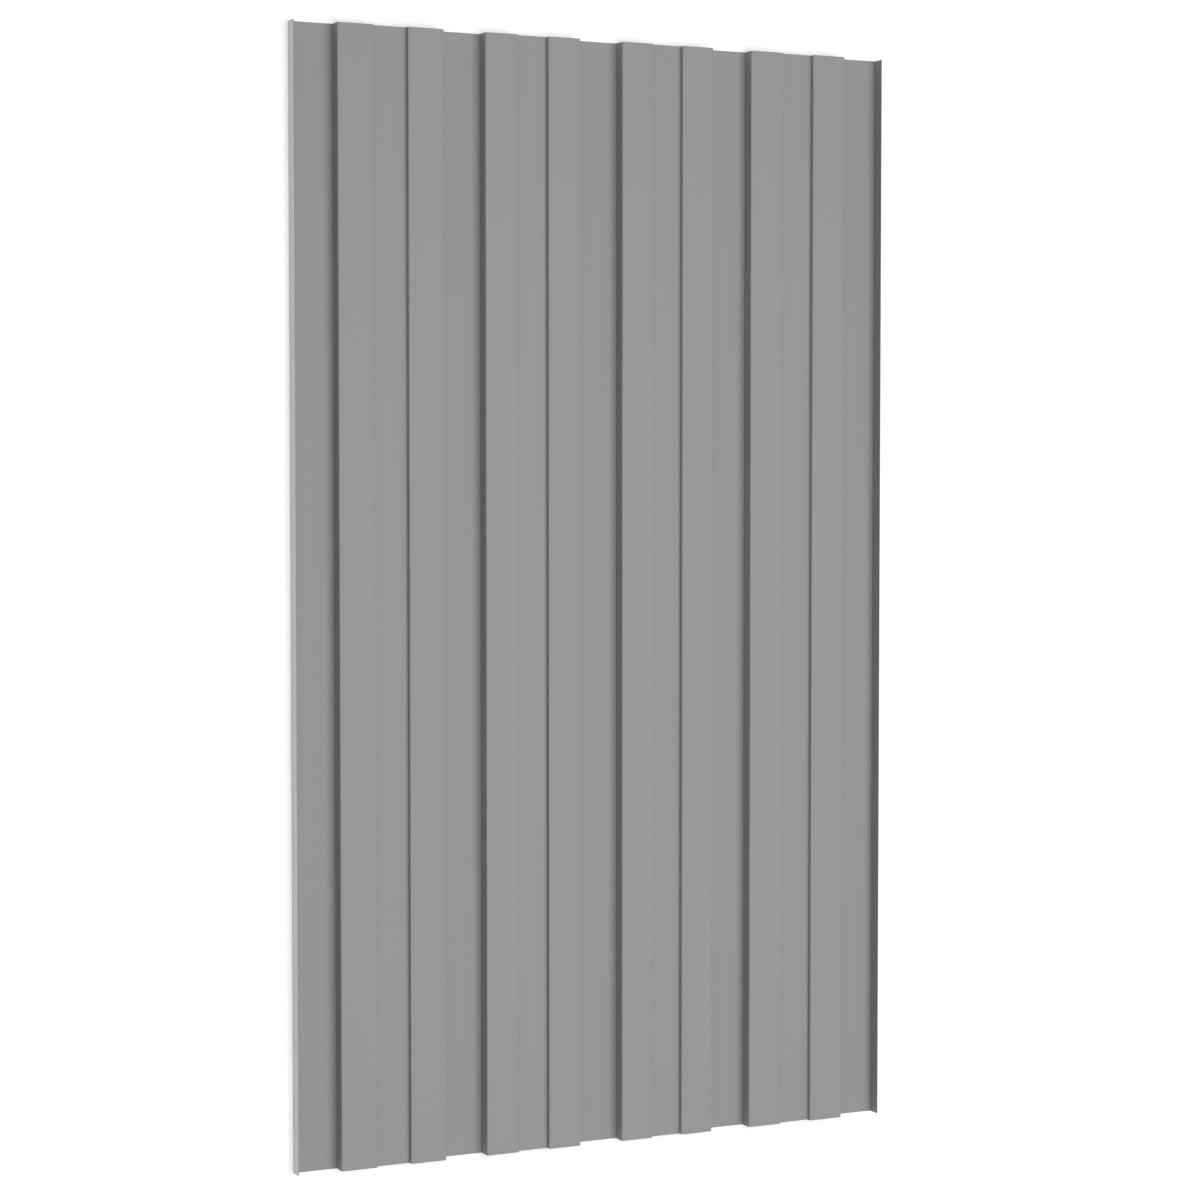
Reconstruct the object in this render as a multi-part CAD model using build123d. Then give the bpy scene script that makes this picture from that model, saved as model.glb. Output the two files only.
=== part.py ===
from build123d import *
import os

# Profiled wall sheet, millimetres
# Lies flat with its ribs up: X is the width, Y the length, Z up
# The origin is the middle of the underside

# Sheet
sheet_length = 600.0
sheet_thickness = 0.4
bend_radius = 0.1            # inside of every bend

# Heights above the front skin of a valley, to the front skin
rib_height = 7.8
groove_depth = 2.75          # from a rib's shoulders down to its groove
lip_height = 7.8             # turned-up long edges, to their free edge

# Widths across the sheet, from front skin to front skin
edge_valley_width = 23.7     # between a lip and the nearest rib
inner_valley_width = 23.6    # between an outer and an inner rib
centre_valley_width = 25.0
outer_shoulder_width = 20.2
outer_groove_width = 19.0
inner_shoulder_width = 18.8
inner_groove_width = 17.8

# The bends are laid out along the middle of the sheet's thickness
half_thickness = sheet_thickness / 2
mid_radius = bend_radius + half_thickness
valley_level = half_thickness
shoulder_level = valley_level + rib_height
groove_level = shoulder_level - groove_depth
lip_level = sheet_thickness + lip_height

# Each rib is a shoulder, a groove and a second shoulder
outer_rib = (outer_shoulder_width, outer_groove_width)
inner_rib = (inner_shoulder_width, inner_groove_width)
ribs = [outer_rib, inner_rib, inner_rib, outer_rib]
valleys = [
    edge_valley_width,
    inner_valley_width,
    centre_valley_width,
    inner_valley_width,
    edge_valley_width,
]


def rib_width(rib):
    shoulder, groove = rib
    return 2 * shoulder + groove


sheet_width = 2 * sheet_thickness + sum(valleys) + sum(rib_width(rib) for rib in ribs)


def rib_bends(start, rib):
    """Bend points of one rib whose left web has its front skin at start."""
    shoulder, groove = rib
    left_web = start + half_thickness
    left_step = start + shoulder - half_thickness
    right_step = start + shoulder + groove + half_thickness
    right_web = start + rib_width(rib) - half_thickness
    return [
        (left_web, valley_level),
        (left_web, shoulder_level),
        (left_step, shoulder_level),
        (left_step, groove_level),
        (right_step, groove_level),
        (right_step, shoulder_level),
        (right_web, shoulder_level),
        (right_web, valley_level),
    ]


def section_bends():
    """Bend points of the whole section, from the left lip to the right lip."""
    left_lip = -sheet_width / 2 + half_thickness
    right_lip = sheet_width / 2 - half_thickness
    points = [(left_lip, lip_level), (left_lip, valley_level)]
    start = left_lip + half_thickness
    for valley, rib in zip(valleys, ribs):
        start += valley
        points += rib_bends(start, rib)
        start += rib_width(rib)
    points += [(right_lip, valley_level), (right_lip, lip_level)]
    return points


def profiled_sheet():
    """The bent section at its full thickness, run along the length."""
    middle = FilletPolyline(*section_bends(), radius=mid_radius)
    back_skin = middle.offset_2d(half_thickness, side=Side.RIGHT, closed=False)
    outline = back_skin.offset_2d(sheet_thickness, side=Side.LEFT)
    section = Plane.XZ * make_face(outline)
    return extrude(section, amount=sheet_length / 2, both=True)


os.makedirs("parts", exist_ok=True)
sheet = profiled_sheet()
sheet.label = "profiled_sheet"
export_step(sheet, "parts/profiled_sheet.step")
print("width", round(sheet_width, 2), "volume", round(sheet.volume, 1))
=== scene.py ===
import math

import bpy
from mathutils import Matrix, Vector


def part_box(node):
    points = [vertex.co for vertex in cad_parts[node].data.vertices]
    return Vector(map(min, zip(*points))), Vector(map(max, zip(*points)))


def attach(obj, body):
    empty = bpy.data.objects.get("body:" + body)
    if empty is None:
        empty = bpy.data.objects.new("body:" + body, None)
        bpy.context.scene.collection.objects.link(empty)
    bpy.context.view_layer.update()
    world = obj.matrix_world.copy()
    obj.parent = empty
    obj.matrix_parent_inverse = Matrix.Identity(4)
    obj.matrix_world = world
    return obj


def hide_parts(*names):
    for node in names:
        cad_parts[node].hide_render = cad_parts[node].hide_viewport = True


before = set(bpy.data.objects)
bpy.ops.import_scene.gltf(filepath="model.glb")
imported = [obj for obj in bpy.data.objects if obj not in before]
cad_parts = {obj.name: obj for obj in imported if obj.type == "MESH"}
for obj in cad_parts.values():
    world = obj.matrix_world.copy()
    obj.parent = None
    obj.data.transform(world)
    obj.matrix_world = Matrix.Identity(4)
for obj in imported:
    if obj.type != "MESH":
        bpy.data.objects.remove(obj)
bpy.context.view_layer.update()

mm = 0.001


# A node with its settings and its inputs: an input is a value, or the node or socket it is linked to
def addNode(tree, kind, settings=None, inputs=None):
    made = tree.nodes.new(kind)
    for name, value in (settings or {}).items():
        setattr(made, name, value)
    for name, value in (inputs or {}).items():
        if isinstance(value, bpy.types.Node):
            value = value.outputs[0]
        if isinstance(value, bpy.types.NodeSocket):
            tree.links.new(value, made.inputs[name])
        else:
            made.inputs[name].default_value = value
    return made


def linearColour(hexColour):
    parts = [int(hexColour[i:i + 2], 16) / 255 for i in (1, 3, 5)]
    return [p / 12.92 if p <= 0.04045 else ((p + 0.055) / 1.055) ** 2.4 for p in parts] + [1.0]


def emptyMaterial(name):
    made = bpy.data.materials.new(name)
    made.use_nodes = True
    made.node_tree.nodes.clear()
    return made


# The coat: pre-painted galvanised steel, so a baked polyester film, grey in front and pale behind.
# To the eye it is even and only slightly shiny, with a faint cloudiness and orange peel
coat = {
    "front": ("#989B9A", "#9B9E9D"),
    "back": ("#EAECEB", "#EDEFEE"),
    "cloudSize": 60.0,          # sizes are in mm
    "cloudDetail": 3.0,
    "cloudGrain": 0.55,         # how much its finer clouds show
    "peelSize": 1.6,
    "peelDetail": 1.0,
    "peelDepth": 0.02,
    "peelStrength": 0.25,
    "roughness": (0.66, 0.72),
    "ior": 1.5,
}


def coilCoat(name, tones):
    made = emptyMaterial(name)
    tree = made.node_tree
    where = addNode(tree, "ShaderNodeTexCoord").outputs["Object"]
    cloud = addNode(tree, "ShaderNodeTexNoise", {},
                    {"Vector": where, "Scale": 1 / (coat["cloudSize"] * mm),
                     "Detail": coat["cloudDetail"], "Roughness": coat["cloudGrain"]})
    tone = addNode(tree, "ShaderNodeMix", {"data_type": "RGBA"},
                   {0: cloud, 6: linearColour(tones[0]), 7: linearColour(tones[1])})
    peel = addNode(tree, "ShaderNodeTexNoise", {},
                   {"Vector": where, "Scale": 1 / (coat["peelSize"] * mm), "Detail": coat["peelDetail"]})
    bump = addNode(tree, "ShaderNodeBump", {},
                   {"Strength": coat["peelStrength"], "Distance": coat["peelDepth"] * mm, "Height": peel})
    gloss = addNode(tree, "ShaderNodeMapRange", {},
                    {"Value": cloud, "To Min": coat["roughness"][0], "To Max": coat["roughness"][1]})
    film = addNode(tree, "ShaderNodeBsdfPrincipled", {},
                   {"Base Color": tone.outputs[2], "Roughness": gloss, "IOR": coat["ior"], "Normal": bump})
    addNode(tree, "ShaderNodeOutputMaterial", {}, {"Surface": film})
    return made


# The sheared edges: bare steel and its smeared zinc, a dull grey with a fine grain
cut = {
    "tones": ("#5C5E60", "#747678"),
    "grainSize": 0.5,           # mm
    "grainDetail": 2.0,
    "roughness": 0.5,
}


def cutSteel():
    made = emptyMaterial("cutSteel")
    tree = made.node_tree
    where = addNode(tree, "ShaderNodeTexCoord").outputs["Object"]
    grain = addNode(tree, "ShaderNodeTexNoise", {},
                    {"Vector": where, "Scale": 1 / (cut["grainSize"] * mm), "Detail": cut["grainDetail"]})
    tone = addNode(tree, "ShaderNodeMix", {"data_type": "RGBA"},
                   {0: grain, 6: linearColour(cut["tones"][0]), 7: linearColour(cut["tones"][1])})
    steel = addNode(tree, "ShaderNodeBsdfPrincipled", {},
                    {"Base Color": tone.outputs[2], "Metallic": 1.0, "Roughness": cut["roughness"]})
    addNode(tree, "ShaderNodeOutputMaterial", {}, {"Surface": steel})
    return made


finishes = {
    "front": coilCoat("frontCoat", coat["front"]),
    "back": coilCoat("backCoat", coat["back"]),
    "cut": cutSteel(),
}
print("coats made")


# The sheet, in mm: one strip of steel bent along its length, with the same section from end to end
sheetLow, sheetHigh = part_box("profiled_sheet")
sheetSize = (sheetHigh - sheetLow) / mm
sheet = {
    "width": sheetSize.x,
    "length": sheetSize.y,
    "thickness": 0.4,
    "bendRadius": 0.1,          # inside of a bend
    "bendSteps": 12,            # facets round a bend
    "edgeRound": 0.1,           # the shear leaves the edges a little round
    "edgeSteps": 3,             # facets round an edge
    "ribHeight": 7.8,
    "grooveDepth": 2.75,
    "innerValley": 23.6,        # widths are from front skin to front skin
    "centreValley": 25.0,
    "outerShoulder": 20.2,
    "outerGroove": 19.0,
    "innerShoulder": 18.8,
    "innerGroove": 17.8,
}
shoulders = 4 * (sheet["outerShoulder"] + sheet["innerShoulder"])
grooves = 2 * (sheet["outerGroove"] + sheet["innerGroove"])
innerValleys = 2 * sheet["innerValley"] + sheet["centreValley"]
edgeValleys = sheet["width"] - 2 * sheet["thickness"] - shoulders - grooves - innerValleys
sheet["edgeValley"] = edgeValleys / 2


# Geometry Nodes: the section is one line of bends, and a bar as long as the sheet is swept along it
def bentSheetTree():
    tree = bpy.data.node_groups.new("bentSheet", "GeometryNodeTree")
    face = tree.interface
    face.new_socket("Geometry", in_out="INPUT", socket_type="NodeSocketGeometry")
    for name in sheet:
        kind = "NodeSocketInt" if name.endswith("Steps") else "NodeSocketFloat"
        face.new_socket(name, in_out="INPUT", socket_type=kind)
    face.new_socket("Geometry", in_out="OUTPUT", socket_type="NodeSocketGeometry")
    given = addNode(tree, "NodeGroupInput").outputs
    got = {name: given[name] for name in sheet}

    # A step is a new name, what is done, and the names or numbers it is done to, in order
    def workOut(steps):
        for name, operation, *terms in steps:
            inputs = {i: got.get(term, term) for i, term in enumerate(terms)}
            if operation == "PICK":       # the first term says which of the others it is
                made = addNode(tree, "GeometryNodeIndexSwitch", {"data_type": "FLOAT"})
                for _ in range(len(terms) - 1 - len(made.index_switch_items)):
                    made.index_switch_items.new()
                for i, term in inputs.items():
                    if isinstance(term, bpy.types.NodeSocket):
                        tree.links.new(term, made.inputs[i])
                    else:
                        made.inputs[i].default_value = term
                got[name] = made.outputs[0]
            elif operation == "SUM BEFORE":
                made = addNode(tree, "GeometryNodeAccumulateField", {"data_type": "FLOAT"}, inputs)
                got[name] = made.outputs["Trailing"]
            else:
                got[name] = addNode(tree, "ShaderNodeMath", {"operation": operation}, inputs).outputs[0]

    # A lip is a web too: the last of a rib before the first one, and the first of a rib after the last
    # one. So the count starts at the left lip's free edge, where such a rib has its bend 6 of 0 to 7
    ribCount = 4
    ribBends = 8
    firstBend = 6
    lipPoints = 4               # both lips together: each has a free edge and one bend
    pointCount = ribBends * ribCount + lipPoints
    got["index"] = addNode(tree, "GeometryNodeInputIndex").outputs[0]
    got["isEnd"] = addNode(tree, "GeometryNodeCurveEndpointSelection").outputs[0]
    workOut([
        ("place", "ADD", "index", firstBend),
        ("bend", "MODULO", "place", ribBends),
        ("placeInRibs", "DIVIDE", "place", ribBends),
        ("rib", "FLOOR", "placeInRibs"),
        # Ribs and valleys are alike on both sides of the middle
        ("valleyFromMiddle", "SUBTRACT", "rib", ribCount / 2),
        ("valleyKind", "ABSOLUTE", "valleyFromMiddle"),
        ("ribFromMiddle", "SUBTRACT", "rib", (ribCount + 1) / 2),
        ("ribDistance", "ABSOLUTE", "ribFromMiddle"),
        ("ribKind", "FLOOR", "ribDistance"),
        # How far it is to the next bend, along the middle of the thickness
        ("valley", "PICK", "valleyKind", "centreValley", "innerValley", "edgeValley"),
        ("shoulder", "PICK", "ribKind", "innerShoulder", "outerShoulder"),
        ("groove", "PICK", "ribKind", "innerGroove", "outerGroove"),
        ("overValley", "ADD", "valley", "thickness"),
        ("overShoulder", "SUBTRACT", "shoulder", "thickness"),
        ("overGroove", "ADD", "groove", "thickness"),
        ("toNext", "PICK", "bend", 0, "overShoulder", 0, "overGroove", 0, "overShoulder", 0, "overValley"),
        ("fromLeft", "SUM BEFORE", "toNext"),
        ("middleWidth", "SUBTRACT", "width", "thickness"),
        ("halfWidth", "MULTIPLY", "middleWidth", 0.5),
        ("across", "SUBTRACT", "fromLeft", "halfWidth"),
        # How high each bend is, with the lips ending level with the rib tops
        ("halfThickness", "MULTIPLY", "thickness", 0.5),
        ("grooveHeight", "SUBTRACT", "ribHeight", "grooveDepth"),
        ("height", "PICK", "bend", 0, "ribHeight", "ribHeight", "grooveHeight",
         "grooveHeight", "ribHeight", "ribHeight", 0),
        ("middleHeight", "ADD", "height", "halfThickness"),
        ("toLipEdge", "MULTIPLY", "isEnd", "halfThickness"),
        ("level", "ADD", "middleHeight", "toLipEdge"),
        ("middleRadius", "ADD", "bendRadius", "halfThickness"),
    ])
    line = addNode(tree, "GeometryNodeCurvePrimitiveLine")
    bends = addNode(tree, "GeometryNodeResampleCurve", {"mode": "COUNT"},
                    {"Curve": line, "Count": pointCount})
    spot = addNode(tree, "ShaderNodeCombineXYZ", {}, {"X": got["across"], "Y": got["level"]})
    section = addNode(tree, "GeometryNodeSetPosition", {}, {"Geometry": bends, "Position": spot})
    section = addNode(tree, "GeometryNodeFilletCurve", {"mode": "POLY"},
                      {"Curve": section, "Count": got["bendSteps"], "Radius": got["middleRadius"]})
    section = addNode(tree, "GeometryNodeSetCurveNormal", {"mode": "Z_UP"}, {"Curve": section})

    # The bar is as thick as the steel and as long as the sheet, with its sheared edges rounded
    bar = addNode(tree, "GeometryNodeCurvePrimitiveQuadrilateral", {},
                  {"Width": got["thickness"], "Height": got["length"]})
    bar = addNode(tree, "GeometryNodeFilletCurve", {"mode": "POLY"},
                  {"Curve": bar, "Count": got["edgeSteps"], "Radius": got["edgeRound"]})
    kept = addNode(tree, "GeometryNodeCaptureAttribute", {"domain": "POINT"})
    kept.capture_items.new("VECTOR", "inBar")
    tree.links.new(bar.outputs[0], kept.inputs[0])
    tree.links.new(addNode(tree, "GeometryNodeInputPosition").outputs[0], kept.inputs[1])
    swept = addNode(tree, "GeometryNodeCurveToMesh", {},
                    {"Curve": section, "Profile Curve": kept, "Fill Caps": True})
    lying = addNode(tree, "GeometryNodeTransform", {},
                    {"Geometry": swept, "Rotation": (math.radians(90), 0, 0), "Scale": (mm, mm, mm)})

    # Flats are shaded flat, and the bends and the rounded edges smooth
    flatLimit = 0.99999         # a flat faces along an axis, so its normal's longest part is above this
    skinLimit = 0.49            # a face that is further out than this share of the thickness is on a skin
    normal = addNode(tree, "ShaderNodeSeparateXYZ", {}, {0: addNode(tree, "GeometryNodeInputNormal")})
    inBar = addNode(tree, "ShaderNodeSeparateXYZ", {}, {0: kept.outputs[1]})
    got.update({"normalX": normal.outputs[0], "normalY": normal.outputs[1], "normalZ": normal.outputs[2]})
    got["depth"] = inBar.outputs[0]
    workOut([
        ("alongX", "ABSOLUTE", "normalX"),
        ("alongY", "ABSOLUTE", "normalY"),
        ("alongZ", "ABSOLUTE", "normalZ"),
        ("flatter", "MAXIMUM", "alongX", "alongY"),
        ("flattest", "MAXIMUM", "flatter", "alongZ"),
        ("isCurved", "LESS_THAN", "flattest", flatLimit),
        # The two skins are the sides of the bar, and all the rest is where it was cut
        ("skinDepth", "MULTIPLY", "thickness", skinLimit),
        ("frontDepth", "MULTIPLY", "skinDepth", -1),
        ("isFront", "LESS_THAN", "depth", "frontDepth"),
        ("isBack", "GREATER_THAN", "depth", "skinDepth"),
    ])
    shaded = addNode(tree, "GeometryNodeSetShadeSmooth", {},
                     {"Geometry": lying, "Shade Smooth": got["isCurved"]})
    real = addNode(tree, "GeometryNodeRealizeInstances", {}, {"Geometry": shaded})
    coated = addNode(tree, "GeometryNodeSetMaterial", {}, {"Geometry": real, "Material": finishes["cut"]})
    for skin, chosen in (("front", "isFront"), ("back", "isBack")):
        coated = addNode(tree, "GeometryNodeSetMaterial", {},
                         {"Geometry": coated, "Selection": got[chosen], "Material": finishes[skin]})
    addNode(tree, "NodeGroupOutput", {}, {"Geometry": coated})
    return tree


maker = bpy.data.objects.new("sheetMaker", bpy.data.meshes.new("sheetMaker"))
bpy.context.scene.collection.objects.link(maker)
modifier = maker.modifiers.new("bentSheet", "NODES")
modifier.node_group = bentSheetTree()
for item in modifier.node_group.interface.items_tree:
    if item.in_out == "INPUT" and item.name in sheet:
        modifier[item.identifier] = sheet[item.name]
bpy.context.view_layer.update()
mesh = bpy.data.meshes.new_from_object(maker.evaluated_get(bpy.context.evaluated_depsgraph_get()))
bpy.data.objects.remove(maker)
sheetPiece = bpy.data.objects.new("profiledSheetCoated", mesh)
bpy.context.scene.collection.objects.link(sheetPiece)
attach(sheetPiece, "root")
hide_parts("profiled_sheet")
print("sheet made,", len(mesh.polygons), "faces")


# Rays that see the white of the surroundings; all others get only their light
def seeingRays(tree):
    ray = addNode(tree, "ShaderNodeLightPath").outputs
    direct = addNode(tree, "ShaderNodeMath", {"operation": "MAXIMUM"},
                     {0: ray["Is Camera Ray"], 1: ray["Is Glossy Ray"]})
    return addNode(tree, "ShaderNodeMath", {"operation": "MAXIMUM"},
                   {0: direct, 1: ray["Is Transmission Ray"]})


# The floor, in m: pale paint, made up to white by as much as it lacks, which is more where it lies
# beyond the lamps
floor = {
    "size": 20.0,
    "colour": "#FAFAFA",
    "below": 0.00002,           # under the sheet's flat underside
    "lit": 0.35,                # out to here from the middle the lamps light it well
    "unlit": 1.4,
    "addedLit": 0.31,
    "addedUnlit": 0.8,
}
half = floor["size"] / 2
floorCorners = [(-half, -half, 0), (half, -half, 0), (half, half, 0), (-half, half, 0)]
floorMesh = bpy.data.meshes.new("floor")
floorMesh.from_pydata(floorCorners, [], [(0, 1, 2, 3)])
floorPiece = bpy.data.objects.new("floor", floorMesh)
floorPiece.location.z = -floor["below"]
bpy.context.scene.collection.objects.link(floorPiece)
floorPaint = emptyMaterial("floorPaint")
tree = floorPaint.node_tree
where = addNode(tree, "ShaderNodeTexCoord").outputs["Object"]
away = addNode(tree, "ShaderNodeVectorMath", {"operation": "LENGTH"}, {0: where}).outputs["Value"]
added = addNode(tree, "ShaderNodeMapRange", {},
                {"Value": away, "From Min": floor["lit"], "From Max": floor["unlit"],
                 "To Min": floor["addedLit"], "To Max": floor["addedUnlit"]})
paint = addNode(tree, "ShaderNodeBsdfDiffuse", {}, {"Color": linearColour(floor["colour"])})
glow = addNode(tree, "ShaderNodeEmission", {}, {"Strength": added})
paintAndGlow = addNode(tree, "ShaderNodeAddShader", {}, {0: paint, 1: glow})
seen = addNode(tree, "ShaderNodeMixShader", {}, {0: seeingRays(tree), 1: paint, 2: paintAndGlow})
addNode(tree, "ShaderNodeOutputMaterial", {}, {"Surface": seen})
floorMesh.materials.append(floorPaint)

# The room: soft light from all round, seen as white
room = {"light": 0.215, "seen": 1.0}
world = bpy.data.worlds.new("room")
bpy.context.scene.world = world
world.use_nodes = True
tree = world.node_tree
tree.nodes.clear()
light = addNode(tree, "ShaderNodeBackground", {}, {"Color": (1, 1, 1, 1), "Strength": room["light"]})
white = addNode(tree, "ShaderNodeBackground", {}, {"Color": (1, 1, 1, 1), "Strength": room["seen"]})
seen = addNode(tree, "ShaderNodeMixShader", {}, {0: seeingRays(tree), 1: light, 2: white})
addNode(tree, "ShaderNodeOutputWorld", {}, {"Surface": seen})

# Lamps that face the floor, in m: a broad one well above the sheet and right of it, and a weak strip
# nearer to it on its left. Strength is what a white card just under the lamp would shine with
lamps = {
    "keyLamp": {"place": (0.325, -0.06, 1.6), "width": 1.4, "length": 1.4, "strength": 3.04},
    "sideLamp": {"place": (-0.275, 0.0, 0.5), "width": 0.6, "length": 1.8, "strength": 0.165},
}
for name, lamp in lamps.items():
    data = bpy.data.lights.new(name, "AREA")
    data.shape = "RECTANGLE"
    data.size = lamp["width"]
    data.size_y = lamp["length"]
    data.energy = lamp["strength"] * math.pi * lamp["width"] * lamp["length"]
    made = bpy.data.objects.new(name, data)
    made.location = lamp["place"]
    bpy.context.scene.collection.objects.link(made)
print("floor, room and lamps placed")

# Camera: high above the sheet and left of it, as far off as the photograph's perspective says
camera = {
    "place": (-670.3, 68.0, 1430.9),    # mm
    "yaw": 25.198,                      # degrees, towards the right
    "pitch": 2.547,                     # towards the bottom of the picture
    "focal": 2896.9,                    # pixels of the photograph
    "frame": 1200,
    "sensor": 36,                       # mm
}
cameraData = bpy.data.cameras.new("camera")
cameraData.sensor_width = camera["sensor"]
cameraData.lens = camera["sensor"] * camera["focal"] / camera["frame"]
cameraPiece = bpy.data.objects.new("camera", cameraData)
cameraPiece.location = [x * mm for x in camera["place"]]
cameraPiece.rotation_euler = (-math.radians(camera["pitch"]), -math.radians(camera["yaw"]), 0)
bpy.context.scene.collection.objects.link(cameraPiece)
bpy.context.scene.camera = cameraPiece
bpy.context.scene.view_settings.view_transform = "Standard"
print("camera placed")
